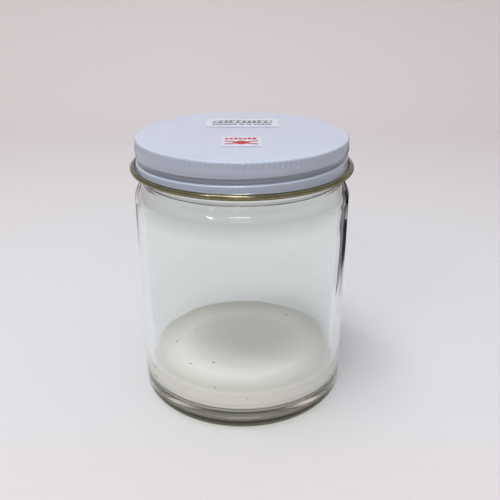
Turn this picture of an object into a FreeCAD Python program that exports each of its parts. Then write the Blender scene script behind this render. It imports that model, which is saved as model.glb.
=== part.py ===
import FreeCAD, Part
import math
import os

import Sketcher

# A straight-sided glass jar with a screwed tinplate lid and a cast plaster pad in its floor.
# Millimetres. The jar stands on z = 0, its axis is the Z axis and +Z points up.
# The lid unscrews about +Z on a right-hand thread. The front of the jar faces -Y.

SIZES = {
    # glass jar, outside
    "body_radius": 36.5,
    "jar_height": 92.4,
    "heel_round": 3.6,
    "stand_inset": 5.9,
    "pushup_depth": 1.2,
    "pushup_slope": 2.6,
    "pushup_round": 1.4,
    "neck_inset": 2.9,
    "neck_height": 13.9,
    "shoulder_drop": 2.5,
    "shoulder_round": 6.8,
    "neck_foot_round": 1.0,
    "rim_round": 1.1,
    # glass jar, inside
    "side_wall": 3.2,
    "floor_level": 5.6,
    "floor_round": 2.2,
    "neck_wall": 2.6,
    "shoulder_lag": 1.8,
    "inner_shoulder_round": 4.2,
    "inner_neck_round": 2.4,
    # screw thread, shared by the jar and the lid
    "thread_pitch": 4.233,
    "thread_play": 0.2,
    "bead_depth": 1.05,
    "bead_foot": 2.3,
    "bead_crest": 0.9,
    "bead_turns": 1.15,
    "bead_top_drop": 2.53,
    "bead_low_angle": -44.0,
    # tinplate lid
    "sheet": 0.25,
    "skirt_clearance": 0.76,
    "lid_round": 1.0,
    "skirt_height": 9.3,
    "flare_rise": 1.0,
    "curl_radius": 0.95,
    "curl_flare": 0.29,
    "curl_end_angle": 130.0,
    "ridge_neck_gap": 0.61,
    "ridge_crest": 0.9,
    "ridge_turns": 0.8,
    "ridge_start_turns": 0.567,
    "ridge_cap_turns": 0.004,
    "knurl_count": 130,
    "knurl_depth": 0.14,
    "knurl_flute_radius": 0.75,
    "knurl_drop": 0.5,
    "knurl_length": 2.4,
    # sealing ring cast under the lid panel
    "seal_skirt_gap": 1.01,
    "seal_overhang": 1.5,
    "seal_thick": 0.75,
    "seal_play": 0.05,
    "seal_round": 0.25,
    # plaster pad
    "plaster_gap": 0.12,
    "plaster_thick": 8.5,
    "plaster_dish": 0.6,
    "plaster_round": 0.8,
    # paper labels on the lid
    "label_thick": 0.1,
    "long_label_length": 25.4,
    "long_label_width": 12.7,
    "long_label_centre": 15.6,
    "square_label_side": 12.7,
    "square_label_centre": -11.4,
}

STAND_INNER_RADIUS = "(sizes.body_radius - sizes.stand_inset)"
NECK_RADIUS = "(sizes.body_radius - sizes.neck_inset)"
BORE_RADIUS = f"({NECK_RADIUS} - sizes.neck_wall)"
NECK_FOOT = "(sizes.jar_height - sizes.neck_height)"
SHOULDER_FOOT = f"({NECK_FOOT} - sizes.shoulder_drop)"
INNER_RADIUS = "(sizes.body_radius - sizes.side_wall)"
PANEL_UNDERSIDE = "(sizes.jar_height + sizes.seal_thick + 2 * sizes.seal_play)"
LID_TOP = f"({PANEL_UNDERSIDE} + sizes.sheet)"
BEAD_RADIUS = f"({NECK_RADIUS} + sizes.bead_depth)"
FLANK_SLOPE = "((sizes.bead_foot - sizes.bead_crest) / sizes.bead_depth)"
BEAD_LOW = "(sizes.jar_height - sizes.bead_top_drop - sizes.thread_pitch * sizes.bead_turns)"
SKIRT_INSIDE = f"({BEAD_RADIUS} + sizes.skirt_clearance)"
SKIRT_RADIUS = f"({SKIRT_INSIDE} + sizes.sheet)"
SKIRT_FOOT = f"({LID_TOP} - sizes.skirt_height)"
CURL_LEVEL = f"({SKIRT_FOOT} - sizes.curl_radius)"
CURL_CENTRE = f"({SKIRT_INSIDE} + sizes.curl_flare + sizes.curl_radius)"


def make_sheet(doc):
    """Put every driving size in the spreadsheet, one row each."""
    sheet = doc.addObject("Spreadsheet::Sheet", "sizes")
    for row, (name, value) in enumerate(SIZES.items(), start=1):
        sheet.set(f"A{row}", name)
        sheet.set(f"B{row}", str(value))
        sheet.setAlias(f"B{row}", name)
    doc.recompute()
    return sheet


def number(sheet, expression):
    """The value that an expression has now, as a plain number."""
    return float(sheet.evalExpression(str(expression)))


def origin_feature(body, role):
    for feature in body.Origin.OriginFeatures:
        if feature.Role == role:
            return feature
    raise ValueError(f"no origin feature {role}")


def new_body(doc, name):
    body = doc.addObject("PartDesign::Body", name)
    body.Label = name
    return body


def new_sketch(body, name, role="XZ_Plane", turn="0"):
    """A sketch on an origin plane, turned about the jar's axis by an angle in degrees."""
    sketch = body.newObject("Sketcher::SketchObject", name)
    sketch.AttachmentSupport = [(origin_feature(body, role), "")]
    sketch.MapMode = "FlatFace"
    if turn != "0":
        up = FreeCAD.Vector(0, 1, 0)
        sketch.AttachmentOffset = FreeCAD.Placement(FreeCAD.Vector(), FreeCAD.Rotation(up, 0.0))
        sketch.setExpression("AttachmentOffset.Rotation.Angle", turn)
    return sketch


def pin_point(sketch, geometry, position, x, y):
    """Fix one point of the sketch at (x, y), both given as expressions."""
    for kind, axis, value in (("DistanceX", -2, x), ("DistanceY", -1, y)):
        if value == "0":
            sketch.addConstraint(Sketcher.Constraint("PointOnObject", geometry, position, axis))
            continue
        here = number(sketch.Document.sizes, value)
        index = sketch.addConstraint(Sketcher.Constraint(kind, -1, 1, geometry, position, here))
        sketch.setExpression(f"Constraints[{index}]", value)


def bind_radius(sketch, geometry, expression):
    here = number(sketch.Document.sizes, expression)
    index = sketch.addConstraint(Sketcher.Constraint("Radius", geometry, here))
    sketch.setExpression(f"Constraints[{index}]", expression)


def rounded_corner(before, corner, after, radius):
    """Tangent points, centre and turn of a rounded corner."""
    incoming = (corner - before).normalize()
    outgoing = (after - corner).normalize()
    turn = incoming.x * outgoing.y - incoming.y * outgoing.x
    half = math.acos(max(-1.0, min(1.0, incoming.dot(outgoing)))) / 2
    reach = radius * math.tan(half)
    enter = corner - incoming * reach
    leave = corner + outgoing * reach
    side = 1.0 if turn > 0 else -1.0
    centre = enter + FreeCAD.Vector(-incoming.y, incoming.x, 0) * radius * side
    return enter, leave, centre, side


def add_outline(sketch, corners):
    """Close an outline through corners (x, y, radius). Each value is an expression or None."""
    sheet = sketch.Document.sizes
    points = [FreeCAD.Vector(number(sheet, x), number(sheet, y), 0) for x, y, _ in corners]
    count = len(corners)
    rounds = {}
    for i, (_, _, radius) in enumerate(corners):
        if radius is not None:
            before = points[i - 1]
            after = points[(i + 1) % count]
            rounds[i] = rounded_corner(before, points[i], after, number(sheet, radius))
    lines = []
    for i in range(count):
        j = (i + 1) % count
        start = rounds[i][1] if i in rounds else points[i]
        end = rounds[j][0] if j in rounds else points[j]
        lines.append(sketch.addGeometry(Part.LineSegment(start, end)))
    for i, (x, y, radius) in enumerate(corners):
        line_in = lines[i - 1]
        line_out = lines[i]
        if radius is None:
            sketch.addConstraint(Sketcher.Constraint("Coincident", line_in, 2, line_out, 1))
            pin_point(sketch, line_out, 1, x, y)
            continue
        enter, leave, centre, side = rounds[i]
        first, last = (enter, leave) if side > 0 else (leave, enter)
        circle = Part.Circle(centre, FreeCAD.Vector(0, 0, 1), number(sheet, radius))
        low = math.atan2(first.y - centre.y, first.x - centre.x)
        high = math.atan2(last.y - centre.y, last.x - centre.x)
        arc = sketch.addGeometry(Part.ArcOfCircle(circle, low, high))
        at_enter, at_leave = (1, 2) if side > 0 else (2, 1)
        sketch.addConstraint(Sketcher.Constraint("Tangent", line_in, 2, arc, at_enter))
        sketch.addConstraint(Sketcher.Constraint("Tangent", line_out, 1, arc, at_leave))
        bind_radius(sketch, arc, radius)
        corner = sketch.addGeometry(Part.Point(points[i]), True)
        pin_point(sketch, corner, 1, x, y)
        sketch.addConstraint(Sketcher.Constraint("PointOnObject", corner, 1, line_in))
        sketch.addConstraint(Sketcher.Constraint("PointOnObject", corner, 1, line_out))


def revolve(body, sketch, name):
    feature = body.newObject("PartDesign::Revolution", name)
    feature.Profile = sketch
    feature.ReferenceAxis = (sketch, ["V_Axis"])
    feature.Angle = 360.0
    return feature


def helix(body, sketch, name, kind, turns):
    """Run a section once round the axis for each turn, rising one pitch a turn."""
    feature = body.newObject(kind, name)
    feature.Profile = sketch
    feature.ReferenceAxis = (origin_feature(body, "Z_Axis"), [""])
    feature.Mode = "pitch-turns-angle"
    feature.setExpression("Pitch", "sizes.thread_pitch")
    feature.setExpression("Turns", turns)
    feature.LeftHanded = False
    feature.Reversed = False
    return feature


def trapezium(sketch, foot_radius, crest_radius, level, foot, crest):
    """The section of a thread: wide at its foot, narrow at its crest."""
    low_foot = f"{level} - {foot} / 2"
    high_foot = f"{level} + {foot} / 2"
    low_crest = f"{level} - {crest} / 2"
    high_crest = f"{level} + {crest} / 2"
    corners = [(foot_radius, low_foot, None), (crest_radius, low_crest, None),
               (crest_radius, high_crest, None), (foot_radius, high_foot, None)]
    add_outline(sketch, corners)


def make_jar(doc):
    """The pressed glass jar, with its one-turn thread bead."""
    body = new_body(doc, "jar_body")
    profile = new_sketch(body, "jar_profile")
    inner_shoulder = f"{SHOULDER_FOOT} - sizes.shoulder_lag"
    inner_neck = f"{NECK_FOOT} - sizes.shoulder_lag"
    pushup_radius = f"{STAND_INNER_RADIUS} - sizes.pushup_slope"
    add_outline(profile, [
        ("0", "sizes.pushup_depth", None),
        (pushup_radius, "sizes.pushup_depth", "sizes.pushup_round"),
        (STAND_INNER_RADIUS, "0", "sizes.pushup_round"),
        ("sizes.body_radius", "0", "sizes.heel_round"),
        ("sizes.body_radius", SHOULDER_FOOT, "sizes.shoulder_round"),
        (NECK_RADIUS, NECK_FOOT, "sizes.neck_foot_round"),
        (NECK_RADIUS, "sizes.jar_height", "sizes.rim_round"),
        (BORE_RADIUS, "sizes.jar_height", "sizes.rim_round"),
        (BORE_RADIUS, inner_neck, "sizes.inner_neck_round"),
        (INNER_RADIUS, inner_shoulder, "sizes.inner_shoulder_round"),
        (INNER_RADIUS, "sizes.floor_level", "sizes.floor_round"),
        ("0", "sizes.floor_level", None),
    ])
    revolve(body, profile, "jar_wall")
    doc.recompute()
    # the bead's foot is sunk into the neck so that the two join as one solid
    sunk = "sizes.neck_wall / 6"
    section = new_sketch(body, "bead_section", turn="sizes.bead_low_angle")
    sunk_foot = f"(sizes.bead_foot + {sunk} * {FLANK_SLOPE})"
    trapezium(section, f"{NECK_RADIUS} - {sunk}", BEAD_RADIUS, BEAD_LOW, sunk_foot,
              "sizes.bead_crest")
    helix(body, section, "thread_bead", "PartDesign::AdditiveHelix", "sizes.bead_turns")
    doc.recompute()
    return body


def add_ring_section(sketch, end_angle):
    """The curl's section: a ring of sheet from nine o'clock, under and up to its cut end."""
    sheet = sketch.Document.sizes
    centre = FreeCAD.Vector(number(sheet, CURL_CENTRE), number(sheet, CURL_LEVEL), 0)
    start = math.pi
    end = 2 * math.pi + math.radians(number(sheet, end_angle))
    arcs = []
    for radius in ("sizes.curl_radius", "sizes.curl_radius - sizes.sheet"):
        circle = Part.Circle(centre, FreeCAD.Vector(0, 0, 1), number(sheet, radius))
        arc = sketch.addGeometry(Part.ArcOfCircle(circle, start, end))
        bind_radius(sketch, arc, radius)
        arcs.append(arc)
    outer, inner = arcs
    pin_point(sketch, outer, 3, CURL_CENTRE, CURL_LEVEL)
    sketch.addConstraint(Sketcher.Constraint("Coincident", inner, 3, outer, 3))
    for position in (1, 2):
        near = sketch.getPoint(inner, position)
        far = sketch.getPoint(outer, position)
        line = sketch.addGeometry(Part.LineSegment(near, far))
        sketch.addConstraint(Sketcher.Constraint("Coincident", line, 1, inner, position))
        sketch.addConstraint(Sketcher.Constraint("Coincident", line, 2, outer, position))
        sketch.addConstraint(Sketcher.Constraint("PointOnObject", outer, 3, line))
        if position == 1:
            sketch.addConstraint(Sketcher.Constraint("Horizontal", line))
            continue
        angle = math.radians(number(sheet, end_angle))
        index = sketch.addConstraint(Sketcher.Constraint("Angle", line, angle))
        sketch.setExpression(f"Constraints[{index}]", f"{end_angle} * 1 deg")


def add_lid_thread(body):
    """Roll the thread: a ridge inside the skirt, and the groove it leaves outside."""
    # the ridge's flanks are parallel to the bead's, and lie one play below them
    slope = FLANK_SLOPE
    flank = f"(sizes.sheet * sqrt(1 + {slope} * {slope} / 4))"
    crest_radius = f"({NECK_RADIUS} + sizes.ridge_neck_gap)"
    reach = f"({SKIRT_INSIDE} - {crest_radius})"
    overlap = f"({BEAD_RADIUS} - {crest_radius})"
    crests = "(sizes.bead_crest + sizes.ridge_crest)"
    below_bead = f"(({crests} + {overlap} * {slope}) / 2 + sizes.thread_play)"
    start = "sizes.ridge_start_turns"
    level = f"({BEAD_LOW} + sizes.thread_pitch * {start} - {below_bead})"
    turn = f"sizes.bead_low_angle + 360 * {start}"

    sunk = "sizes.sheet / 2"
    ridge = new_sketch(body, "ridge_section", turn=turn)
    trapezium(ridge, f"{SKIRT_INSIDE} + {sunk}", crest_radius, level,
              f"(sizes.ridge_crest + ({reach} + {sunk}) * {slope})", "sizes.ridge_crest")
    helix(body, ridge, "thread_ridge", "PartDesign::AdditiveHelix", "sizes.ridge_turns")
    body.Document.recompute()

    # the groove is the ridge's outline moved out by one sheet, a sheet shorter at each end
    cap = "sizes.ridge_cap_turns"
    clear = "sizes.sheet"
    groove_level = f"({level} + sizes.thread_pitch * {cap})"
    groove_turn = f"{turn} + 360 * {cap}"
    bottom = f"(sizes.ridge_crest + sizes.sheet * {slope} - 2 * {flank})"
    mouth = f"({bottom} + ({reach} + {clear}) * {slope})"
    groove = new_sketch(body, "groove_section", turn=groove_turn)
    trapezium(groove, f"{SKIRT_RADIUS} + {clear}", f"{crest_radius} + sizes.sheet",
              groove_level, mouth, bottom)
    before = body.Shape.Volume
    helix(body, groove, "thread_groove", "PartDesign::SubtractiveHelix",
          f"sizes.ridge_turns - 2 * {cap}")
    body.Document.recompute()
    check_cut(body, before, "thread groove")


def check_cut(body, before, what):
    if not body.Shape.Volume < before:
        raise ValueError(f"the {what} cut nothing from {body.Label}")


def add_knurl(body):
    """Upright flutes round the top of the skirt, one pocket repeated round the axis."""
    sketch = new_sketch(body, "flute_section", "XY_Plane")
    sketch.setExpression("AttachmentOffset.Base.z", f"{LID_TOP} - sizes.knurl_drop")
    centre_radius = f"{SKIRT_RADIUS} - sizes.knurl_depth + sizes.knurl_flute_radius"
    start = FreeCAD.Vector(number(body.Document.sizes, centre_radius), 0, 0)
    flute_radius = number(body.Document.sizes, "sizes.knurl_flute_radius")
    circle = sketch.addGeometry(Part.Circle(start, FreeCAD.Vector(0, 0, 1), flute_radius))
    pin_point(sketch, circle, 3, centre_radius, "0")
    bind_radius(sketch, circle, "sizes.knurl_flute_radius")
    body.Document.recompute()
    before = body.Shape.Volume
    flute = body.newObject("PartDesign::Pocket", "flute")
    flute.Profile = sketch
    flute.setExpression("Length", "sizes.knurl_length")
    flute.Reversed = False
    body.Document.recompute()
    check_cut(body, before, "flute")
    before = body.Shape.Volume
    pattern = body.newObject("PartDesign::PolarPattern", "knurl")
    pattern.Originals = [flute]
    pattern.Axis = (origin_feature(body, "Z_Axis"), [""])
    pattern.Angle = 360.0
    pattern.setExpression("Occurrences", "sizes.knurl_count")
    body.Tip = pattern
    body.Document.recompute()
    check_cut(body, before, "knurl")


def make_lid(doc):
    """The tinplate cap: flat panel, knurled skirt with a rolled thread, and a curled hem."""
    body = new_body(doc, "lid_shell")
    flare_top = f"({SKIRT_FOOT} + sizes.flare_rise)"
    profile = new_sketch(body, "cap_profile")
    add_outline(profile, [
        ("0", PANEL_UNDERSIDE, None),
        (SKIRT_INSIDE, PANEL_UNDERSIDE, "sizes.lid_round - sizes.sheet"),
        (SKIRT_INSIDE, flare_top, None),
        (f"{SKIRT_INSIDE} + sizes.curl_flare", CURL_LEVEL, None),
        (f"{SKIRT_RADIUS} + sizes.curl_flare", CURL_LEVEL, None),
        (SKIRT_RADIUS, flare_top, None),
        (SKIRT_RADIUS, LID_TOP, "sizes.lid_round"),
        ("0", LID_TOP, None),
    ])
    revolve(body, profile, "cap_wall")
    doc.recompute()
    curl = new_sketch(body, "curl_profile")
    add_ring_section(curl, "sizes.curl_end_angle")
    revolve(body, curl, "hem_curl")
    doc.recompute()
    add_lid_thread(body)
    add_knurl(body)
    return body


def make_seal(doc):
    """The soft sealing ring cast under the lid panel, resting on the jar's rim."""
    body = new_body(doc, "lid_gasket")
    low = "(sizes.jar_height + sizes.seal_play)"
    high = f"({low} + sizes.seal_thick)"
    inner = f"({BORE_RADIUS} - sizes.seal_overhang)"
    outer = f"({SKIRT_INSIDE} - sizes.seal_skirt_gap)"
    profile = new_sketch(body, "ring_profile")
    add_outline(profile, [
        (inner, low, "sizes.seal_round"),
        (outer, low, "sizes.seal_round"),
        (outer, high, None),
        (inner, high, None),
    ])
    revolve(body, profile, "seal_ring")
    doc.recompute()
    return body


def make_plaster(doc):
    """The plaster pad, cast in the jar's floor and shrunk a hair from the glass wall."""
    body = new_body(doc, "plaster_pad")
    radius = f"({INNER_RADIUS} - sizes.plaster_gap)"
    edge_level = "(sizes.floor_level + sizes.plaster_thick)"
    profile = new_sketch(body, "pad_profile")
    add_outline(profile, [
        ("0", "sizes.floor_level", None),
        (radius, "sizes.floor_level", "sizes.floor_round"),
        (radius, edge_level, "sizes.plaster_round"),
        ("0", f"{edge_level} - sizes.plaster_dish", None),
    ])
    revolve(body, profile, "cast_pad")
    doc.recompute()
    return body


def make_label(doc, name, length, width, centre):
    """A paper label stuck flat on the lid panel, centred across the jar."""
    label = doc.addObject("Part::Box", name)
    label.Label = name
    label.setExpression("Length", length)
    label.setExpression("Width", width)
    label.setExpression("Height", "sizes.label_thick")
    label.setExpression("Placement.Base.x", f"-({length}) / 2")
    label.setExpression("Placement.Base.y", f"{centre} - ({width}) / 2")
    label.setExpression("Placement.Base.z", LID_TOP)
    doc.recompute()
    return label


def check_and_write(doc, pieces):
    """Write each piece's STEP file once every object of the document is sound."""
    for item in doc.Objects:
        if "Invalid" in item.State or "Error" in item.State:
            raise ValueError(f"{item.Label} failed: {item.State}")
    for piece in pieces:
        shape = piece.Shape
        if shape.isNull() or not shape.isValid() or len(shape.Solids) != 1:
            raise ValueError(f"{piece.Label} is not one sound solid")
    os.makedirs("parts", exist_ok=True)
    for piece in pieces:
        piece.Shape.exportStep(f"parts/{piece.Label}.step")
        print(piece.Label, round(piece.Shape.Volume, 1), "mm3")


def main():
    doc = FreeCAD.newDocument("collecting_jar")
    make_sheet(doc)
    pieces = [
        make_jar(doc),
        make_plaster(doc),
        make_lid(doc),
        make_seal(doc),
        make_label(doc, "long_label", "sizes.long_label_length", "sizes.long_label_width",
                   "sizes.long_label_centre"),
        make_label(doc, "square_label", "sizes.square_label_side", "sizes.square_label_side",
                   "sizes.square_label_centre"),
    ]
    doc.recompute()
    check_and_write(doc, pieces)


main()
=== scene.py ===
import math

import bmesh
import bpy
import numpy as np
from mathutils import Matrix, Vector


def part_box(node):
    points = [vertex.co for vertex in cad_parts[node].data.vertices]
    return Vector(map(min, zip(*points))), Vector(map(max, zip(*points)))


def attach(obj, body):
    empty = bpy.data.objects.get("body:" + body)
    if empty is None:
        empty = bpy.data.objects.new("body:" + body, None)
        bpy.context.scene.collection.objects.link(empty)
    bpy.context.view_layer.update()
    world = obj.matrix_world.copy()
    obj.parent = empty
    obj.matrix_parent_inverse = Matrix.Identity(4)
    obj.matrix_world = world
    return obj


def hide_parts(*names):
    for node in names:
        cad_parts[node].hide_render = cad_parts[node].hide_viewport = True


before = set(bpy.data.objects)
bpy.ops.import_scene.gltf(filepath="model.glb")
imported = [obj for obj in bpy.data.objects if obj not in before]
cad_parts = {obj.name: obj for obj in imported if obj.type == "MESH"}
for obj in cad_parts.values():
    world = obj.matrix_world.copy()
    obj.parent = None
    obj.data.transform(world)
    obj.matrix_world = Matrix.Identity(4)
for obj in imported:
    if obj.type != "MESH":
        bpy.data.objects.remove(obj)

# %% [markdown]
# # A plaster-bottomed collecting jar
# The object is a small glass jar with a screwed tin lid. Plaster is cast in its floor, where a
# keeper drips water or a killing fluid. The frame holds the engineering model, and every piece
# below is drawn around it in metres, so each place is read from the frame's own boxes.

MM = 0.001
FULL_TURN = 2 * math.pi
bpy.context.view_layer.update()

# %% Sizes read from the frame
glass_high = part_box("jar_body")[1]
pad_low, pad_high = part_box("plaster_pad")
cap_low, cap_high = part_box("lid_shell")
seal_low, seal_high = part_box("lid_gasket")
body_radius = glass_high.x
rim_level = glass_high.z
floor_level = pad_low.z
pad_edge_level = pad_high.z
pad_radius = pad_high.x
lid_top = cap_high.z
hem_bottom = cap_low.z
print(f"glass {2000 * body_radius:.1f} mm wide, {1000 * rim_level:.1f} mm high")

# %% [markdown]
# ## Turned shapes
# A jar, a lid and a gasket are all turned shapes. The Screw modifier could spin one outline, but
# it gives every slice the same outline, and a thread, a knurl and hand-poured plaster differ as
# you go round. So one helper walks along an outline and another spins it through a function
# that may move each point. Rounded corners are true arcs, cut into short steps.

# %% Walking along an outline
def corner_arc(before, corner, after, radius, arc_step):
    """Points along the round at a corner, from its first tangent point to its last."""
    incoming = (corner - before).normalized()
    outgoing = (after - corner).normalized()
    bend = incoming.angle(outgoing)
    reach = radius * math.tan(bend / 2)
    side = 1 if incoming.x * outgoing.y - incoming.y * outgoing.x > 0 else -1
    normal = Vector((-incoming.y, incoming.x)) * side
    centre = corner - incoming * reach + normal * radius
    count = max(3, math.ceil(bend / arc_step))
    start = -normal
    points = []
    for i in range(count + 1):
        turn = side * bend * i / count
        swung = Vector((start.x * math.cos(turn) - start.y * math.sin(turn),
                        start.x * math.sin(turn) + start.y * math.cos(turn)))
        points.append(centre + swung * radius)
    return points


def walk(corners, arc_step=math.radians(6), line_step=2 * MM):
    """An outline as closely spaced points. Each corner is (radius, level, round)."""
    spots = [Vector(c[:2]) for c in corners]
    path = [spots[0]]
    for i in range(1, len(corners)):
        last = i == len(corners) - 1
        rounded = not last and corners[i][2] > 0
        if rounded:
            new = corner_arc(spots[i - 1], spots[i], spots[i + 1], corners[i][2], arc_step)
        else:
            new = [spots[i]]
        gap = new[0] - path[-1]
        steps = max(1, math.ceil(gap.length / line_step))
        path += [path[-1] + gap * (k / steps) for k in range(1, steps)]
        path += new
    return path


# %% Spinning an outline
def spin(name, path, segments, move=None):
    """Spin an outline about the Z axis. It starts and ends on the axis. move shifts the points."""
    radius = np.array([p.x for p in path[1:-1]])
    level = np.array([p.y for p in path[1:-1]])
    angle = np.arange(segments) / segments * FULL_TURN
    radii, angles = np.meshgrid(radius, angle, indexing="ij")
    levels = np.repeat(level[:, None], segments, axis=1)
    if move is not None:
        radii, levels = move(radii, angles, levels)
    ring = np.stack([radii * np.cos(angles), radii * np.sin(angles), levels], axis=-1)
    ends = [(0, 0, path[0].y), (0, 0, path[-1].y)]
    points = np.concatenate([ring.reshape(-1, 3), np.array(ends)])
    rows = len(radius)
    low_end, high_end = rows * segments, rows * segments + 1
    faces = []
    for row in range(rows - 1):
        here, above = row * segments, (row + 1) * segments
        for i in range(segments):
            j = (i + 1) % segments
            faces.append((here + i, here + j, above + j, above + i))
    top = (rows - 1) * segments
    for i in range(segments):
        j = (i + 1) % segments
        faces.append((low_end, j, i))
        faces.append((high_end, top + i, top + j))
    mesh = bpy.data.meshes.new(name)
    mesh.from_pydata(points.tolist(), [], faces)
    mesh.shade_smooth()
    piece = bpy.data.objects.new(name, mesh)
    bpy.context.scene.collection.objects.link(piece)
    print(f"{name}: {len(faces)} faces")
    return piece


def around(cell, turns=1.0):
    """An angle wrapped into -half to +half of the turns given."""
    return (cell + turns / 2) % turns - turns / 2


# %% [markdown]
# ## Materials
# Each finish gets one short function. The helpers keep the wiring easy to read: one adds a node,
# sets its plain sockets and gives it back, and the others read a place on the piece. Numbers
# that are the same all over a surface go straight on the shader, and only what truly varies is
# wired. The jar stands on the origin, so a place on a piece is also its place on the jar.

# %% Helpers for nodes
def new_material(name):
    material = bpy.data.materials.new(name)
    material.use_nodes = True
    tree = material.node_tree
    shader = next(n for n in tree.nodes if n.type == "BSDF_PRINCIPLED")
    return material, tree, shader


def add(tree, kind, **values):
    """Add a node. Sockets are named with _ for a space, and other names are its properties."""
    node = tree.nodes.new(kind)
    for key, value in values.items():
        socket = key.replace("_", " ")
        if socket in node.inputs:
            node.inputs[socket].default_value = value
        else:
            setattr(node, key, value)
    return node


def noise(tree, scale, detail=3.0, roughness=0.5):
    """Noise in the piece's own coordinates, with features about 1/scale metres across."""
    place = add(tree, "ShaderNodeTexCoord")
    texture = add(tree, "ShaderNodeTexNoise", Scale=scale, Detail=detail, Roughness=roughness)
    tree.links.new(place.outputs["Object"], texture.inputs["Vector"])
    return texture.outputs["Fac"]


# %% Helpers that read a place and a slope
def along(tree, axis):
    """A point's X, Y or Z on its piece, in metres."""
    place = add(tree, "ShaderNodeTexCoord")
    parts = add(tree, "ShaderNodeSeparateXYZ")
    tree.links.new(place.outputs["Object"], parts.inputs["Vector"])
    return parts.outputs[axis]


def off_axis(tree, centre=(0, 0)):
    """How far a point is from the jar's axis, or from a line beside it, in metres."""
    place = add(tree, "ShaderNodeTexCoord")
    shifted = add(tree, "ShaderNodeVectorMath", operation="SUBTRACT")
    shifted.inputs[1].default_value = (*centre, 0)
    flat = add(tree, "ShaderNodeVectorMath", operation="MULTIPLY")
    flat.inputs[1].default_value = (1, 1, 0)
    reach = add(tree, "ShaderNodeVectorMath", operation="LENGTH")
    tree.links.new(place.outputs["Object"], shifted.inputs[0])
    tree.links.new(shifted.outputs["Vector"], flat.inputs[0])
    tree.links.new(flat.outputs["Vector"], reach.inputs[0])
    return reach.outputs["Value"]


def upward_slope(tree):
    """How far a face looks up: 1 for a flat top, 0 for an upright side."""
    facing = add(tree, "ShaderNodeNewGeometry")
    parts = add(tree, "ShaderNodeSeparateXYZ")
    tree.links.new(facing.outputs["Normal"], parts.inputs["Vector"])
    return parts.outputs["Z"]


# %% Helpers that mix values and colours
def combine(tree, operation, first, second):
    """One Math node: ADD, MULTIPLY or MAXIMUM of two values."""
    node = add(tree, "ShaderNodeMath", operation=operation)
    tree.links.new(first, node.inputs[0])
    tree.links.new(second, node.inputs[1])
    return node.outputs["Value"]


def spread(tree, value, low, high, to_low, to_high):
    """Stretch a value from one range to another and clamp it."""
    node = add(tree, "ShaderNodeMapRange", From_Min=low, From_Max=high,
               To_Min=to_low, To_Max=to_high)
    tree.links.new(value, node.inputs["Value"])
    return node.outputs["Result"]


def blend_colours(tree, factor, first, second):
    """Mix two colours by a factor. Either may be a colour or the output of another node."""
    node = add(tree, "ShaderNodeMix", data_type="RGBA")
    tree.links.new(factor, node.inputs["Factor"])
    for name, colour in (("A", first), ("B", second)):
        socket = next(s for s in node.inputs if s.name == name and s.type == "RGBA")
        if isinstance(colour, tuple):
            socket.default_value = (*colour, 1)
        else:
            tree.links.new(colour, socket)
    return next(s for s in node.outputs if s.type == "RGBA")


def bump(tree, shader, height, distance, strength=1.0):
    """Tilt the light on a surface as if it rose and fell by distance."""
    node = add(tree, "ShaderNodeBump", Strength=strength, Distance=distance)
    tree.links.new(height, node.inputs["Height"])
    tree.links.new(node.outputs["Normal"], shader.inputs["Normal"])


# %% [markdown]
# ## Camera, floor and light
# The camera stands a forearm's length away and looks down on the lid. The floor is one sheet of
# pale paper that curves up behind the jar, so the front view shows no hard edge. A
# ceiling fitting of three tubes lights the jar from above, a little in front and to the left.
# The room round it is bright overhead and dim at eye level. Three far windows put the short
# highlights on the glass shoulder, which the lid's edge hides from the tubes. Glass shows what is
# around it, so the room's dimness matters as much as its lamps.

# %% Camera
camera_place = Vector((2.7, -215.6, 144.3)) * MM
camera_pitch = math.radians(23.38)
lens = bpy.data.cameras.new("camera")
lens.lens = 47.12
lens.sensor_width = 36.0
lens.clip_start = 10 * MM
camera = bpy.data.objects.new("camera", lens)
camera.location = camera_place
camera.rotation_euler = (math.pi / 2 - camera_pitch, 0, 0)
bpy.context.scene.collection.objects.link(camera)
bpy.context.scene.camera = camera
bpy.context.scene.view_settings.view_transform = "Standard"

# %% Floor and sweep
sweep_start = 400 * MM
sweep_radius = 160 * MM
floor_reach = 1500 * MM
side_reach = 1500 * MM
sweep_height = 900 * MM
air_film = 0.03 * MM  # glass rests on the paper's high points, so light still turns back inside it


def make_sweep():
    """One sheet: flat, then a quarter round, then upright."""
    line = [(-floor_reach, -air_film), (sweep_start, -air_film)]
    for i in range(1, 13):
        angle = math.pi / 2 * i / 12
        line.append((sweep_start + sweep_radius * math.sin(angle),
                     sweep_radius * (1 - math.cos(angle)) - air_film))
    line.append((line[-1][0], sweep_height))
    points = [(side * side_reach, y, z) for y, z in line for side in (-1, 1)]
    faces = [(2 * i, 2 * i + 1, 2 * i + 3, 2 * i + 2) for i in range(len(line) - 1)]
    mesh = bpy.data.meshes.new("paper_sweep")
    mesh.from_pydata(points, [], faces)
    mesh.shade_smooth()
    sheet = bpy.data.objects.new("paper_sweep", mesh)
    bpy.context.scene.collection.objects.link(sheet)
    return sheet


def paper_finish():
    """Matt paper: cool round the jar, and warmer in front and far away."""
    material, tree, shader = new_material("background_paper")
    cool, warm = (0.685, 0.695, 0.715), (0.715, 0.65, 0.645)
    tone = spread(tree, off_axis(tree), 0.06, 0.55, 0.0, 1.0)
    cloud = spread(tree, noise(tree, 2.5, 2.0), 0.3, 0.7, -0.12, 0.12)
    front = spread(tree, along(tree, "Y"), -0.02, -0.12, 0.0, 1.3)
    tone = combine(tree, "ADD", combine(tree, "MAXIMUM", tone, front), cloud)
    colour = blend_colours(tree, tone, cool, warm)
    tree.links.new(colour, shader.inputs["Base Color"])
    shader.inputs["Roughness"].default_value = 0.75
    bump(tree, shader, noise(tree, 900.0), 0.05 * MM, 0.3)
    return material


sweep = make_sweep()
sweep.data.materials.append(paper_finish())

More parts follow.
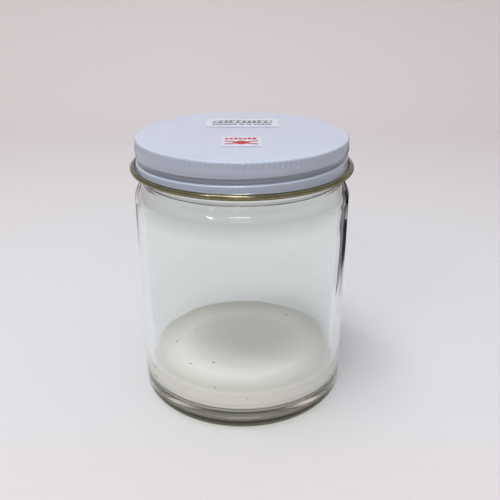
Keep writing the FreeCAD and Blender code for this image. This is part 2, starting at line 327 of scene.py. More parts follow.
# %% Lamps
def add_panel(name, place, target, width, height, power, colour=(1, 1, 1)):
    """A soft rectangular lamp at place, turned to face target. Power is in watts."""
    lamp = bpy.data.lights.new(name, "AREA")
    lamp.shape = "RECTANGLE"
    lamp.size = width
    lamp.size_y = height
    lamp.energy = power
    lamp.color = colour
    panel = bpy.data.objects.new(name, lamp)
    panel.location = place
    aim = Vector(target) - Vector(place)
    panel.rotation_euler = aim.to_track_quat("-Z", "Y").to_euler()
    bpy.context.scene.collection.objects.link(panel)
    return panel


jar_middle = (0, 0, rim_level / 2)
ceiling = 0.95
tube_side = -0.14
tube_length, tube_width = 0.46, 0.045
tube_watts = 1.55
tube_colour = (1.0, 0.98, 0.97)
for number, forward in enumerate((0.12, 0.24, 0.36)):
    add_panel(f"tube_{number}", (tube_side, -forward, ceiling), jar_middle,
              tube_length, tube_width, tube_watts, tube_colour)
shoulder = (0, -body_radius, rim_level - 16 * MM)
add_panel("high_window", (-0.04, -0.72, 0.84), shoulder, 0.34, 0.035, 0.75)
add_panel("low_window", (0.0, -0.98, 0.52), shoulder, 0.34, 0.022, 0.6)
add_panel("side_window", (-0.46, -0.62, 0.66), shoulder, 0.10, 0.07, 0.4)

# %% Room light
world = bpy.data.worlds.new("room")
world.use_nodes = True
room = next(n for n in world.node_tree.nodes if n.type == "BACKGROUND")
room.inputs["Color"].default_value = (0.82, 0.84, 0.88, 1)
direction = add(world.node_tree, "ShaderNodeTexCoord")
parts = add(world.node_tree, "ShaderNodeSeparateXYZ")
world.node_tree.links.new(direction.outputs["Generated"], parts.inputs["Vector"])
glow = spread(world.node_tree, parts.outputs["Z"], 0.0, 0.8, 0.36, 0.78)
world.node_tree.links.new(glow, room.inputs["Strength"])
bpy.context.scene.world = world
print("camera", tuple(round(v, 4) for v in camera.location))

# %% Light paths
# Light runs along inside the jar's thick base by turning back at face after face, so a path
# needs more reflections than the usual four before it is given up.
paths = bpy.context.scene.cycles
paths.max_bounces = 20
paths.glossy_bounces = 14
paths.transmission_bounces = 20

# %% [markdown]
# Clear glass on white paper nearly vanishes, so a studio stands black cards just beside it,
# and they show as dark lines in its edges. Here a card shows only to a ray that has gone into
# the wall and out again, or has glanced off a surface, which is what the rays at those edges do.
# It casts no shadow and can't be seen directly, so it can stand close by and the paper stays
# clean.

# %% Black cards
def card_finish():
    """Black to a ray that crossed exactly two glass faces or only glanced off, else clear."""
    material = bpy.data.materials.new("black_card")
    material.use_nodes = True
    tree = material.node_tree
    tree.nodes.clear()
    black = add(tree, "ShaderNodeEmission", Color=(0.016, 0.020, 0.024, 1))
    clear = add(tree, "ShaderNodeBsdfTransparent")
    ray = add(tree, "ShaderNodeLightPath")
    crossed = add(tree, "ShaderNodeMath", operation="COMPARE")
    crossed.inputs[1].default_value = 2.0
    crossed.inputs[2].default_value = 0.5
    mix = add(tree, "ShaderNodeMixShader")
    output = add(tree, "ShaderNodeOutputMaterial")
    tree.links.new(ray.outputs["Transmission Depth"], crossed.inputs[0])
    outside = add(tree, "ShaderNodeMath", operation="LESS_THAN")
    outside.inputs[1].default_value = 0.5
    tree.links.new(ray.outputs["Transmission Depth"], outside.inputs[0])
    glanced = combine(tree, "MULTIPLY", outside.outputs["Value"], ray.outputs["Is Glossy Ray"])
    shown = combine(tree, "MAXIMUM", crossed.outputs["Value"], glanced)
    tree.links.new(shown, mix.inputs["Fac"])
    tree.links.new(clear.outputs["BSDF"], mix.inputs[1])
    tree.links.new(black.outputs["Emission"], mix.inputs[2])
    tree.links.new(mix.outputs["Shader"], output.inputs["Surface"])
    return material


def add_card(name, near, far, foot, head, finish):
    """An upright card from one (x, y) to another, between two levels."""
    mesh = bpy.data.meshes.new(name)
    (ax, ay), (bx, by) = near, far
    mesh.from_pydata([(ax, ay, foot), (bx, by, foot), (bx, by, head), (ax, ay, head)], [],
                     [(0, 1, 2, 3)])
    card = bpy.data.objects.new(name, mesh)
    bpy.context.scene.collection.objects.link(card)
    card.data.materials.append(finish)
    card.visible_camera = False
    card.visible_diffuse = False
    card.visible_shadow = False


card_black = card_finish()
add_card("right_card", (0.080, 0.044), (0.062, 0.200), 0.0, 0.075, card_black)
add_card("left_card", (-0.084, 0.110), (-0.066, 0.200), 0.0, 0.040, card_black)
add_card("left_upper_card", (-0.080, 0.070), (-0.066, 0.200), 0.058, 0.070, card_black)

# %% [markdown]
# ## The glass jar
# The real jar is pressed in an iron mould and blown, so its outside is true and its inside wall
# wanders, here by up to a few tenths of a millimetre. That wander makes the streaks in the glass.
# One closed outline gives the wall its true thickness, which a shell with a Solidify modifier
# would also do, but here the outside and inside differ at the heel, the shoulder and the rim.
# The screw thread is a low bead on the neck that fades in and out at its ends.

# %% The jar's outline
heel_round = 3.6 * MM
stand_radius = body_radius - 5.9 * MM
pushup_depth = 1.2 * MM
neck_radius = body_radius - 2.9 * MM
bore_radius = neck_radius - 2.6 * MM
wall_radius = body_radius - 3.2 * MM
neck_foot = rim_level - 13.9 * MM
shoulder_foot = neck_foot - 2.5 * MM
shoulder_lag = 1.8 * MM
rim_round = 1.1 * MM
parting_level = neck_foot + 1.2 * MM  # a hairline ridge where the two halves of the mould meet

jar_outline = [
    (0, pushup_depth, 0),
    (stand_radius - 2.6 * MM, pushup_depth, 1.4 * MM),
    (stand_radius, 0, 1.4 * MM),
    (body_radius, 0, heel_round),
    (body_radius, shoulder_foot, 6.8 * MM),
    (neck_radius, neck_foot, 0.8 * MM),
    (neck_radius, parting_level - 0.30 * MM, 0.05 * MM),
    (neck_radius + 0.20 * MM, parting_level, 0.08 * MM),
    (neck_radius, parting_level + 0.30 * MM, 0.05 * MM),
    (neck_radius, rim_level, rim_round),
    (bore_radius, rim_level, rim_round),
    (bore_radius, neck_foot - shoulder_lag, 2.4 * MM),
    (wall_radius, shoulder_foot - shoulder_lag, 4.2 * MM),
    (wall_radius, floor_level, 2.2 * MM),
    (0, floor_level, 0),
]

# %% The bead and the wandering inner wall
thread_pitch = 4.233 * MM
bead_depth = 1.05 * MM
bead_foot = 2.3 * MM
bead_crest = 0.9 * MM
bead_turns = 1.15
bead_low_angle = math.radians(-44)
bead_low_level = rim_level - 2.53 * MM - thread_pitch * bead_turns
bead_fade = 0.07


def rib_height(offset, foot, crest):
    """How high a rounded rib stands, 0 to 1, at an offset up or down from its middle."""
    rise = (foot / 2 - np.abs(offset)) / (foot / 2 - crest / 2)
    rise = np.clip(rise, 0, 1)
    return rise * rise * (3 - 2 * rise)


def helical_rib(angles, levels, low_angle, low_level, turns, fade, foot, crest):
    """Height, 0 to 1, of a rib that climbs one pitch a turn and fades out at both ends."""
    total = np.zeros_like(angles)
    first = ((angles - low_angle) / FULL_TURN) % 1.0
    for lap in range(math.ceil(turns)):
        along = first + lap
        ends = np.clip(np.minimum(along, turns - along) / fade, 0, 1)
        ends = ends * ends * (3 - 2 * ends)
        middle = low_level + thread_pitch * along
        total = np.maximum(total, ends * rib_height(levels - middle, foot, crest))
    return total


def wander(angles, levels, seed, size):
    """A smooth, slow unevenness made of a few waves round and up the wall."""
    draw = np.random.default_rng(seed)
    total = np.zeros_like(angles)
    for _ in range(7):
        round_waves = draw.integers(1, 7)
        up_waves = draw.uniform(-1.5, 1.5) / (60 * MM)
        phase = draw.uniform(0, FULL_TURN)
        total += np.cos(round_waves * angles + FULL_TURN * up_waves * levels + phase)
    return size * total / 7


def shape_glass(radii, angles, levels):
    """Raise the bead on the neck, and let the inner wall wander."""
    on_neck = (np.abs(radii - neck_radius) < 0.01 * MM) & (levels > neck_foot)
    bead = helical_rib(angles, levels, bead_low_angle, bead_low_level, bead_turns, bead_fade,
                       bead_foot, bead_crest)
    radii = radii + np.where(on_neck, bead_depth * bead, 0)
    inside = (np.abs(radii - wall_radius) < 0.01 * MM) & (levels > floor_level)
    room_above = (levels - floor_level - 9 * MM) / (8 * MM)
    room_below = (shoulder_foot - 5 * MM - levels) / (8 * MM)
    ease = np.clip(np.minimum(room_above, room_below), 0, 1)
    ease = ease * ease * (3 - 2 * ease)
    radii = radii + np.where(inside, ease * wander(angles, levels, 11, 0.28 * MM), 0)
    return radii, levels


# %% [markdown]
# Thick glass shows dark and light bands at its base and shoulder, where light turns back inside
# it. Refraction gives part of that here. The rest is a stand-in: a tint that changes with height,
# nearly black in two narrow rings. Real bands shift as you look from higher or lower, and these
# stay put.

# %% Glass finish
clear_tint = (0.940, 0.968, 0.952)
cream_tint = (0.99, 0.97, 0.88)
glass_bands = [  # level in millimetres and tint, from the heel up
    (0.0, (0.33, 0.33, 0.23)),
    (3.3, (0.06, 0.065, 0.03)),
    (3.5, (0.001, 0.001, 0.001)),
    (4.1, (0.001, 0.001, 0.001)),
    (4.3, cream_tint),
    (7.1, cream_tint),
    (7.3, (0.002, 0.002, 0.001)),
    (7.7, (0.002, 0.002, 0.001)),
    (7.9, clear_tint),
    (68.0, clear_tint),
    (73.5, (0.72, 0.75, 0.735)),
    (75.5, (0.79, 0.815, 0.80)),
    (79.3, (0.79, 0.815, 0.80)),
    (79.6, (0.25, 0.27, 0.25)),
    (79.8, (0.25, 0.27, 0.25)),
    (80.1, (0.90, 0.92, 0.91)),
]


def tint_bands(tree, bands):
    """A colour that changes with height. Each band is (level in millimetres, colour)."""
    top = bands[-1][0]
    ramp = add(tree, "ShaderNodeValToRGB")
    stops = ramp.color_ramp.elements
    stops.remove(stops[1])
    stops[0].position, stops[0].color = bands[0][0] / top, (*bands[0][1], 1)
    for level, colour in bands[1:]:
        stops.new(level / top).color = (*colour, 1)
    tree.links.new(spread(tree, along(tree, "Z"), 0.0, top * MM, 0.0, 1.0), ramp.inputs["Fac"])
    return ramp.outputs["Color"]


def glass_finish():
    """Clear soda-lime glass with a breath of green. Lamps shine through it to what it holds.

    Light that goes straight through is dimmed and warmed a little at the thick base.
    """
    material, tree, shader = new_material("clear_glass")
    shader.inputs["Roughness"].default_value = 0.0
    shader.inputs["IOR"].default_value = 1.52
    shader.inputs["Transmission Weight"].default_value = 1.0
    tree.links.new(tint_bands(tree, glass_bands), shader.inputs["Base Color"])
    clear = add(tree, "ShaderNodeBsdfTransparent")
    wall = spread(tree, along(tree, "Z"), 0.6 * floor_level, 1.15 * floor_level, 0.0, 1.0)
    passed = blend_colours(tree, wall, (0.88, 0.88, 0.80), (0.96, 0.97, 0.965))
    tree.links.new(passed, clear.inputs["Color"])
    ray = add(tree, "ShaderNodeLightPath")
    mix = add(tree, "ShaderNodeMixShader")
    output = next(n for n in tree.nodes if n.type == "OUTPUT_MATERIAL")
    lit_through = combine(tree, "MAXIMUM", ray.outputs["Is Shadow Ray"],
                          ray.outputs["Is Diffuse Ray"])
    tree.links.new(lit_through, mix.inputs["Fac"])
    tree.links.new(shader.outputs["BSDF"], mix.inputs[1])
    tree.links.new(clear.outputs["BSDF"], mix.inputs[2])
    tree.links.new(mix.outputs["Shader"], output.inputs["Surface"])
    return material


# %% Build the jar
glass_path = walk(jar_outline, arc_step=math.radians(5), line_step=0.5 * MM)
glass = spin("glass_jar", glass_path, 288, shape_glass)
glass.data.materials.append(glass_finish())
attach(glass, "jar")
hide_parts("jar_body")

# %% [markdown]
# ## The plaster pad
# Plaster is poured in wet and tilted about, so its top is never quite flat and it climbs the
# glass in places. It grips the wall as it sets, and leaves a film of air under it. A fluid
# simulation could find the top, but a turned disc moved by slow waves, with a tide line at the
# wall, is quicker and easy to steer. Shade is painted into its colour: darker towards the glass,
# on its side, and where the lid's shadow falls a little behind the middle. Air bubbles leave
# pits, drawn as dark specks of painted shade with no hollow.

# %% The pad's top and side
pad_dish = 0.6 * MM
tide_high = 0.9 * MM
under_gap = 0.05 * MM  # air under the plaster
side_gap = 0.06 * MM  # and round its foot
wall_grip = 0.08 * MM  # closes the gap round the upper side, and a hair more


def tide(angles):
    """How far the plaster climbs the wall as you go round."""
    waves = (0.30 * np.cos(2 * angles - 0.9) + 0.26 * np.cos(3 * angles + 1.9)
             + 0.20 * np.cos(5 * angles - 0.4) + 0.12 * np.cos(8 * angles + 0.8)
             + 0.07 * np.cos(13 * angles + 2.2))
    splash = np.exp(-(around(angles - math.radians(24), FULL_TURN) / 0.11) ** 2)
    return tide_high * (0.35 + 0.75 * waves + 1.1 * splash)


def shape_pad(radii, angles, levels):
    """Move the top by swells and a tide line, and press the side against the glass."""
    top = levels > floor_level + 4 * MM
    outward = np.clip(radii / pad_radius, 0, 1)
    lift = np.where(top, 1.0, 0.0) * np.clip((levels - floor_level - 4 * MM) / (3.5 * MM), 0, 1)
    edge = outward ** 9
    swell = 0.22 * MM * np.cos(2 * angles + 1.0) * outward ** 2
    ripple = wander(angles, radii * 1.6, 5, 0.30 * MM) * outward * (1 - outward ** 6)
    levels = levels + lift * (edge * tide(angles) + swell * (1 - edge) + ripple)
    wet = np.clip((levels - floor_level - 3 * MM) / (1 * MM), 0, 1)
    radii = radii + np.where(outward > 0.97, wet * wall_grip, 0)
    return radii, levels


# %% Plaster finish
def air_holes(tree, scale, size, share):
    """Scattered round specks: a few cells of a Voronoi pattern, each dark near its own point."""
    place = add(tree, "ShaderNodeTexCoord")
    cells = add(tree, "ShaderNodeTexVoronoi", Scale=scale)
    tree.links.new(place.outputs["Object"], cells.inputs["Vector"])
    near = spread(tree, cells.outputs["Distance"], size * 0.6, size, 1.0, 0.0)
    pick = add(tree, "ShaderNodeSeparateColor")
    tree.links.new(cells.outputs["Color"], pick.inputs["Color"])
    chosen = spread(tree, pick.outputs["Red"], share, share + 0.01, 1.0, 0.0)
    return combine(tree, "MULTIPLY", near, chosen)


def plaster_finish():
    """Matt cast plaster, cloudy. Shade is painted at the glass, its side and the lid's shadow."""
    material, tree, shader = new_material("cast_plaster")
    cloud = spread(tree, noise(tree, 60.0, 4.0), 0.32, 0.68, 0.0, 1.0)
    colour = blend_colours(tree, cloud, (0.90, 0.885, 0.83), (0.96, 0.945, 0.89))
    # painted shade: the plaster darkens towards the glass wall, where the wall turns light away
    rim = spread(tree, off_axis(tree), 23 * MM, 31 * MM, 0.0, 1.0)
    colour = blend_colours(tree, rim, colour, (0.62, 0.60, 0.55))
    # painted shade: faces that look sideways are darker than the flat top
    side = spread(tree, upward_slope(tree), 0.2, 0.7, 1.0, 0.0)
    colour = blend_colours(tree, side, colour, (0.75, 0.715, 0.66))
    # painted shadow: a darker patch a little behind the middle, where the lid's shadow falls
    painted_lid_shadow = spread(tree, off_axis(tree, (5 * MM, 8 * MM)), 9 * MM, 28 * MM, 1.0, 0.0)
    colour = blend_colours(tree, painted_lid_shadow, colour, (0.77, 0.755, 0.71))
    # painted shade: a pit has no hollow here, only a dark speck of colour for the shade inside it
    painted_pit_shade = air_holes(tree, 190.0, 0.10, 0.55)
    colour = blend_colours(tree, painted_pit_shade, colour, (0.24, 0.21, 0.17))
    tree.links.new(colour, shader.inputs["Base Color"])
    shader.inputs["Roughness"].default_value = 0.82
    shader.inputs["Specular IOR Level"].default_value = 0.35
    bump(tree, shader, noise(tree, 900.0, 5.0, 0.65), 0.12 * MM, 0.5)
    return material


# %% Build the pad
pad_outline = [
    (0, floor_level + under_gap, 0),
    (wall_radius - side_gap, floor_level + under_gap, 2.5 * MM),
    (wall_radius - side_gap, pad_edge_level, 0.7 * MM),
    (0, pad_edge_level - pad_dish, 0),
]
pad = spin("plaster", walk(pad_outline, math.radians(8), 0.5 * MM), 240, shape_pad)
pad.data.materials.append(plaster_finish())
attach(pad, "jar")
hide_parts("plaster_pad")

# %% [markdown]
# ## The tin lid
# The lid is one disc of tinplate, drawn into a cap. Rollers then press the knurl and the thread
# into its skirt, and the cut edge is curled outward so it can't cut a finger. The plate was
# enamelled white on one face and lacquered gold on the other before it was drawn, so the gold
# comes round to the outside on the curl. One outline follows the sheet out along its white
# face, round its cut edge and back along its gold face, and each face takes its own finish.

# %% The lid's outline
sheet = 0.25 * MM
skirt_inside = neck_radius + bead_depth + 0.76 * MM
skirt_radius = skirt_inside + sheet
curl_radius = 0.95 * MM
curl_level = hem_bottom + curl_radius
curl_centre = skirt_inside + 0.29 * MM + curl_radius
curl_end = math.radians(116)
flare_top = hem_bottom + 2 * curl_radius + 1.0 * MM
lid_round = 1.0 * MM


def curl_arc(radius, start, end, count):
    """Points round the curl's middle, from one angle to another."""
    turns = [start + (end - start) * i / count for i in range(count + 1)]
    return [Vector((curl_centre + radius * math.cos(t), curl_level + radius * math.sin(t)))
            for t in turns]


# the white face runs out over the top, down the skirt and round inside the curl to the cut edge
start_angle = math.pi
end_angle = FULL_TURN + curl_end
white_face = walk([
    (0, lid_top, 0),
    (skirt_radius, lid_top, lid_round),
    (skirt_radius, flare_top, 2.0 * MM),
    (skirt_radius + 0.29 * MM, curl_level, 0),
], math.radians(9), 0.2 * MM)
white_face += curl_arc(curl_radius - sheet, start_angle, end_angle, 26)[1:]
gold_face = curl_arc(curl_radius, end_angle, start_angle, 44)
gold_face += walk([
    (skirt_inside + 0.29 * MM, curl_level, 0),
    (skirt_inside, flare_top, 2.0 * MM),
    (skirt_inside, lid_top - sheet, lid_round - sheet),
    (0, lid_top - sheet, 0),
], math.radians(9), 0.25 * MM)[1:]
lid_path = white_face + gold_face
white_rows = len(white_face) - 1
print("rows of white face", white_rows, "rows in all", len(lid_path))

# %% [markdown]
# The knurl and the thread are both rolled into the skirt, so they show on both faces. The
# knurl's flutes are a wave round the lid, eight points to a flute, or the wave would look
# broken. The thread is the same helical rib as the glass bead, pressed inward. It sits one
# play below the bead, which is what pulls the lid down.

# %% Knurl and rolled thread
flutes = 130
flute_points = 8
knurl_top = lid_top - 0.45 * MM
knurl_foot = lid_top - 2.95 * MM
knurl_depth = 0.17 * MM
ridge_reach = skirt_inside - neck_radius - 0.61 * MM
ridge_crest = 0.9 * MM
ridge_turns = 0.8
ridge_start = 0.567
flank_slope = (bead_foot - bead_crest) / bead_depth
overlap = bead_depth - 0.61 * MM
below_bead = (bead_crest + ridge_crest + overlap * flank_slope) / 2 + 0.2 * MM
ridge_foot = ridge_crest + ridge_reach * flank_slope
ridge_low_level = bead_low_level + thread_pitch * ridge_start - below_bead
ridge_low_angle = bead_low_angle + FULL_TURN * ridge_start


def flute_wave(angles, levels):
    """Rounded flutes with a flat land between, easing in and out at the knurl's two ends."""
    wave = 0.5 - 0.5 * np.cos(flutes * angles)
    wave = wave ** 1.4
    into = np.clip((knurl_top - levels) / (0.5 * MM), 0, 1)
    out = np.clip((levels - knurl_foot) / (1.1 * MM), 0, 1)
    ease = np.minimum(into, out)
    return wave * ease * ease * (3 - 2 * ease)


def shape_lid(radii, angles, levels):
    """Press the knurl and the thread into the skirt, on both faces of the sheet."""
    skirt = (radii > skirt_inside - 1.1 * MM) & (levels > flare_top - 1.2 * MM)
    skirt &= levels < lid_top - 0.3 * MM
    ridge = helical_rib(angles, levels, ridge_low_angle, ridge_low_level, ridge_turns, 0.06,
                        ridge_foot, ridge_crest)
    press = ridge_reach * ridge + knurl_depth * flute_wave(angles, levels)
    belly = 0.10 * MM * np.clip(1 - ((levels - 89.9 * MM) / (1.1 * MM)) ** 2, 0, 1)
    radii = radii - np.where(skirt, press + 0.10 * MM - belly, 0)
    panel = radii < skirt_inside - 1.2 * MM
    share = np.clip(radii / (skirt_inside - 1.2 * MM), 0, 1)
    sag = 0.10 * MM * np.cos(share * math.pi / 2) ** 2
    dents = wander(angles, radii * 2.0, 3, 0.10 * MM) * share * (1 - share ** 2)
    levels = levels - np.where(panel & (levels > lid_top - 0.4 * MM), sag + 0.02 * MM + dents, 0)
    return radii, levels


# %% White enamel
def enamel_finish():
    """Satin white enamel, a cool white. Shade is painted on its upright side and in the groove."""
    material, tree, shader = new_material("white_enamel")
    cloud = spread(tree, noise(tree, 45.0, 3.0), 0.35, 0.65, 0.0, 1.0)
    colour = blend_colours(tree, cloud, (0.49, 0.56, 0.69), (0.52, 0.59, 0.715))
    # painted shade: the upright skirt is darker than the top, as less light falls on it
    side = spread(tree, upward_slope(tree), 0.25, 0.75, 1.0, 0.0)
    colour = blend_colours(tree, side, colour, (0.37, 0.405, 0.485))
    # painted shade: the rolled groove below the knurl is darkened, where its flank faces down
    groove = spread(tree, off_axis(tree), skirt_radius - 0.9 * MM, skirt_radius - 0.25 * MM,
                    1.0, 0.0)
    below = spread(tree, along(tree, "Z"), knurl_foot - 1.2 * MM, knurl_foot - 0.6 * MM,
                   1.0, 0.0)
    painted_groove_shade = combine(tree, "MULTIPLY", groove, below)
    colour = blend_colours(tree, painted_groove_shade, colour, (0.27, 0.295, 0.35))
    tree.links.new(colour, shader.inputs["Base Color"])
    rub = spread(tree, noise(tree, 60.0, 2.0), 0.2, 0.8, 0.27, 0.39)
    tree.links.new(rub, shader.inputs["Roughness"])
    shader.inputs["Coat Weight"].default_value = 0.7
    shader.inputs["Coat Roughness"].default_value = 0.02
    bump(tree, shader, noise(tree, 250.0, 2.0), 0.03 * MM, 0.12)
    return material


# %% Gold lacquer and the raw edge
def lacquer_finish():
    """Thin gold lacquer over tinplate. The metal shows through it, streaked by the rollers."""
    material, tree, shader = new_material("gold_lacquer")
    streak = spread(tree, noise(tree, 260.0, 4.0), 0.3, 0.7, 0.0, 1.0)
    colour = blend_colours(tree, streak, (0.17, 0.155, 0.085), (0.23, 0.21, 0.125))
    tree.links.new(colour, shader.inputs["Base Color"])
    shader.inputs["Metallic"].default_value = 1.0
    worn = spread(tree, noise(tree, 500.0, 3.0), 0.3, 0.7, 0.10, 0.20)
    tree.links.new(worn, shader.inputs["Roughness"])
    bump(tree, shader, noise(tree, 1500.0, 2.0), 0.01 * MM, 0.3)
    return material


# %% Build the lid
lid = spin("tin_lid", lid_path, flutes * flute_points, shape_lid)
lid.data.materials.append(enamel_finish())
lid.data.materials.append(lacquer_finish())


def paint_by_row(piece, segments, first_gold_row):
    """Give the quads past a row, and the end fan, the second finish."""
    quads = (len(lid_path) - 3) * segments
    finish = np.zeros(len(piece.data.polygons), dtype=np.int32)
    index = np.arange(len(finish))
    finish[(index < quads) & (index // segments >= first_gold_row)] = 1
    finish[(index >= quads) & ((index - quads) % 2 == 1)] = 1
    piece.data.polygons.foreach_set("material_index", finish)


paint_by_row(lid, flutes * flute_points, white_rows - 1)
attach(lid, "lid")
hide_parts("lid_shell")

# %% [markdown]
# ## The sealing ring
# A ring of soft compound is flowed into the lid while it spins, so its face is smooth and its
# inner edge thins out. The jar's rim has pressed a shallow track into it. It could be a bent
# circle with a bevel, but its section isn't round, so its closed outline is spun instead.

# %% Sealing ring
def add_ring(name, outline, segments):
    """Spin a closed outline that never touches the axis."""
    rows = len(outline)
    angle = np.arange(segments) / segments * FULL_TURN
    radii, angles = np.meshgrid(np.array([p[0] for p in outline]), angle, indexing="ij")
    levels = np.repeat(np.array([p[1] for p in outline])[:, None], segments, axis=1)
    points = np.stack([radii * np.cos(angles), radii * np.sin(angles), levels], axis=-1)
    faces = []
    for row in range(rows):
        here, above = row * segments, (row + 1) % rows * segments
        for i in range(segments):
            j = (i + 1) % segments
            faces.append((here + i, here + j, above + j, above + i))
    mesh = bpy.data.meshes.new(name)
    mesh.from_pydata(points.reshape(-1, 3).tolist(), [], faces)
    mesh.shade_smooth()
    piece = bpy.data.objects.new(name, mesh)
    bpy.context.scene.collection.objects.link(piece)
    print(f"{name}: {len(faces)} faces")
    return piece


def ring_outline(inner, outer, low, high):
    """Round the seal's section: flat on top, a thin inner edge and a track under the rim."""
    across = np.linspace(0, 1, 40)
    under = []
    for t in across:
        radius = inner + (outer - inner) * t
        edge = math.sqrt(max(0.0, 1 - (1 - min(t / 0.16, 1)) ** 2))
        far = math.sqrt(max(0.0, 1 - (1 - min((1 - t) / 0.10, 1)) ** 2))
        track = 0.16 * math.exp(-((radius - (neck_radius - 1.3 * MM)) / (0.9 * MM)) ** 4)
        under.append((radius, high - (high - low) * min(edge, far) * (1 - track)))
    over = [(inner + (outer - inner) * t, high) for t in np.linspace(0.98, 0.02, 24)]
    return under + over


def seal_finish():
    """Cream rubbery compound, slightly cloudy."""
    material, tree, shader = new_material("sealing_compound")
    cloud = spread(tree, noise(tree, 180.0, 3.0), 0.3, 0.7, 0.0, 1.0)
    colour = blend_colours(tree, cloud, (0.66, 0.64, 0.56), (0.74, 0.72, 0.65))
    tree.links.new(colour, shader.inputs["Base Color"])
    shader.inputs["Roughness"].default_value = 0.55
    shader.inputs["Subsurface Weight"].default_value = 0.15
    shader.inputs["Subsurface Scale"].default_value = 1.0 * MM
    bump(tree, shader, noise(tree, 1200.0, 3.0), 0.03 * MM, 0.4)
    return material


seal_inner = -seal_low.x - 4.9 * MM
seal_outline = ring_outline(seal_inner, seal_high.x, seal_low.z, seal_high.z)
seal = add_ring("sealing_ring", seal_outline, 200)
seal.data.materials.append(seal_finish())
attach(seal, "lid_seal")
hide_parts("lid_gasket")

# %% [markdown]
# ## The stickers
# Two paper stickers are pressed on the lid. Each is a thin sheet with rounded corners and a
# slightly lifted edge. Their print is laid on as real ink shapes a few microns thick, because
# an image texture isn't used here and shapes stay sharp when the model goes elsewhere. The
# print only suggests words: plain blocks for lettering, and a spot with four wavy rays as a mark.

# %% A sticker
def rounded_patch(width, depth, radius, spacing):
    """Grid points of a sheet with rounded corners, as rows of (x, y) from -1 to 1 eased in."""
    across = max(8, round(width / spacing))
    along = max(8, round(depth / spacing))
    rows = []
    for i in range(along + 1):
        y = (i / along - 0.5) * depth
        inset = 0.0
        past = abs(y) - (depth / 2 - radius)
        if past > 0:
            inset = radius - math.sqrt(max(0.0, radius ** 2 - past ** 2))
        half = width / 2 - inset
        rows.append([(half * (2 * k / across - 1), y) for k in range(across + 1)])
    return rows


def add_sticker(name, node, finish, seed):
    """A paper sticker that fills its node's box, less the ink's thickness on top."""
    low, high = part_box(node)
    width, depth = high.x - low.x, high.y - low.y
    middle = (low + high) / 2
    rows = rounded_patch(width, depth, 0.5 * MM, 0.35 * MM)
    draw = np.random.default_rng(seed)
    mesh = bmesh.new()
    grids = []
    for top in (False, True):
        grid = []
        for row in rows:
            line = []
            for x, y in row:
                rim = min(width / 2 - abs(x), depth / 2 - abs(y))
                lift = paper_lift * max(0.0, 1 - rim / (0.5 * MM)) * draw.uniform(0.2, 0.6)
                level = low.z - 0.03 * MM + (paper_thick + 0.03 * MM if top else 0) + lift * top
                line.append(mesh.verts.new((middle.x + x, middle.y + y, level)))
            grid.append(line)
        grids.append(grid)
    for top, grid in enumerate(grids):
        for i in range(len(grid) - 1):
            for k in range(len(grid[0]) - 1):
                corners = [grid[i][k], grid[i][k + 1], grid[i + 1][k + 1], grid[i + 1][k]]
                mesh.faces.new(corners if top else corners[::-1])
    join_edges(mesh, grids)
    data = bpy.data.meshes.new(name)
    mesh.to_mesh(data)
    mesh.free()
    piece = bpy.data.objects.new(name, data)
    bpy.context.scene.collection.objects.link(piece)
    piece.data.materials.append(finish)
    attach(piece, "lid")
    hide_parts(node)
    print(f"{name}: {1000 * width:.1f} x {1000 * depth:.1f} mm")
    return piece


def join_edges(mesh, grids):
    """Close the four thin edges between a sheet's lower and upper faces."""
    def outline(grid):
        left = [row[0] for row in grid]
        right = [row[-1] for row in grid]
        return grid[0] + right[1:] + grid[-1][-2::-1] + left[-2:0:-1]
    below, above = (outline(grid) for grid in grids)
    for i in range(len(below)):
        j = (i + 1) % len(below)
        mesh.faces.new((below[i], below[j], above[j], above[i]))


def paper_label_finish():
    """Coated white sticker paper: almost plain, with a soft tooth."""
    material, tree, shader = new_material("label_paper")
    tooth = spread(tree, noise(tree, 350.0, 4.0), 0.3, 0.7, 0.0, 1.0)
    colour = blend_colours(tree, tooth, (0.57, 0.60, 0.68), (0.61, 0.64, 0.71))
    tree.links.new(colour, shader.inputs["Base Color"])
    shader.inputs["Roughness"].default_value = 0.45
    bump(tree, shader, noise(tree, 2500.0, 3.0), 0.01 * MM, 0.4)
    return material


def ink_finish(name, colour, faded):
    """Printing ink that has not covered the paper evenly."""
    material, tree, shader = new_material(name)
    patch = spread(tree, noise(tree, 1600.0, 3.0), 0.35, 0.75, 0.0, 1.0)
    tree.links.new(blend_colours(tree, patch, colour, faded), shader.inputs["Base Color"])
    shader.inputs["Roughness"].default_value = 0.5
    return material


paper_thick = 0.075 * MM
paper_lift = 0.01 * MM
paper_finish_white = paper_label_finish()
add_sticker("long_sticker", "long_label", paper_finish_white, 21)
add_sticker("square_sticker", "square_label", paper_finish_white, 22)

# %% [markdown]
# Ink shapes are flat outlines raised a hair above the paper. A block stands for a letter: its
# width and height change from one to the next, so the row looks like print and says nothing.

# %% Ink shapes
def block(x, y, width, height, lean=0.0):
    """A small upright block of print, leaning like an italic."""
    return [(x, y), (x + width, y), (x + width + lean, y + height), (x + lean, y + height)]


def stroke(points, thickness):
    """A ribbon of ink along a line of points, as quads."""
    shapes = []
    for (ax, ay), (bx, by) in zip(points, points[1:]):
        length = math.hypot(bx - ax, by - ay)
        nx, ny = -(by - ay) / length * thickness / 2, (bx - ax) / length * thickness / 2
        shapes.append([(ax - nx, ay - ny), (bx - nx, by - ny),
                       (bx + nx, by + ny), (ax + nx, ay + ny)])
    return shapes


def spot(x, y, width, height, count=32):
    """A round spot, a little squared."""
    shape = []
    for i in range(count):
        t = FULL_TURN * i / count
        squared = 1 + 0.06 * math.cos(4 * t)
        shape.append((x + width / 2 * squared * math.cos(t),
                      y + height / 2 * squared * math.sin(t)))
    return shape


def outlined(shape, thickness):
    """The outline of a block, as an open letter."""
    return stroke(shape + shape[:1], thickness)


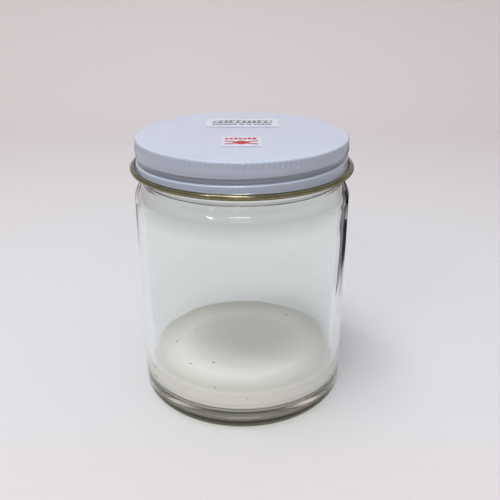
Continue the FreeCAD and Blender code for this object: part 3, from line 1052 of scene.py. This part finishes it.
def add_ink(name, node, shapes, finish):
    """Lay ink shapes, in millimetres from the sticker's middle, on top of the sticker."""
    low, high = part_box(node)
    middle = (low + high) / 2
    under = low.z + paper_thick + 0.002 * MM
    over = high.z - 0.001 * MM
    mesh = bmesh.new()
    for shape in shapes:
        rings = []
        for level in (under, over):
            rings.append([mesh.verts.new((middle.x + x * MM, middle.y + y * MM, level))
                          for x, y in shape])
        bottom, top = rings
        mesh.faces.new(bottom[::-1])
        mesh.faces.new(top)
        for i in range(len(shape)):
            j = (i + 1) % len(shape)
            mesh.faces.new((bottom[i], bottom[j], top[j], top[i]))
    bmesh.ops.recalc_face_normals(mesh, faces=mesh.faces)
    data = bpy.data.meshes.new(name)
    mesh.to_mesh(data)
    mesh.free()
    piece = bpy.data.objects.new(name, data)
    bpy.context.scene.collection.objects.link(piece)
    piece.data.materials.append(finish)
    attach(piece, "lid")
    print(f"{name}: {len(shapes)} shapes")
    return piece


def block_row(start, end, level, height, seed, widths, gap, lean, word_chance):
    """A row of blocks from start to end, with a wider gap between groups of them."""
    draw = np.random.default_rng(seed)
    shapes = []
    x = start
    while x < end - widths[0]:
        width = draw.uniform(*widths)
        tall = height * draw.choice([1.0, 0.82, 0.90])
        shapes.append(block(x, level, min(width, end - x), tall, lean))
        x += width + gap + (1.2 * gap + 0.4 if draw.random() < word_chance else 0)
    return shapes


# %% Print the stickers
dark_ink = ink_finish("dark_ink", (0.055, 0.055, 0.065), (0.16, 0.16, 0.18))
red_ink = ink_finish("red_ink", (0.40, 0.006, 0.010), (0.52, 0.03, 0.035))
name_row = [block(-10.8, -0.5, 21.4, 0.22)]
for shape in block_row(-10.4, 10.4, 0.3, 3.3, 31, (1.2, 2.1), 0.45, 0.7, 0.12):
    name_row += outlined(shape, 0.42)
address_row = block_row(-10.4, 10.2, -3.3, 1.7, 32, (0.55, 0.95), 0.20, 0.0, 0.14)
add_ink("maker_print", "long_label", name_row + address_row, dark_ink)

warning_row = block_row(-5.4, 5.4, 2.6, 2.2, 33, (1.0, 1.4), 0.35, 0.0, 0.0)
rays = []
for side in (-1, 1):
    for rise in (-1, 1):
        ray = [(side * (2.2 + 3.0 * t), -1.5 + rise * (0.8 + 1.5 * t + 0.35 * math.sin(6.0 * t)))
               for t in np.linspace(0, 1, 8)]
        rays += stroke(ray, 1.05)
add_ink("hazard_print", "square_label", warning_row + rays + [spot(0.0, -1.5, 4.6, 4.4)], red_ink)
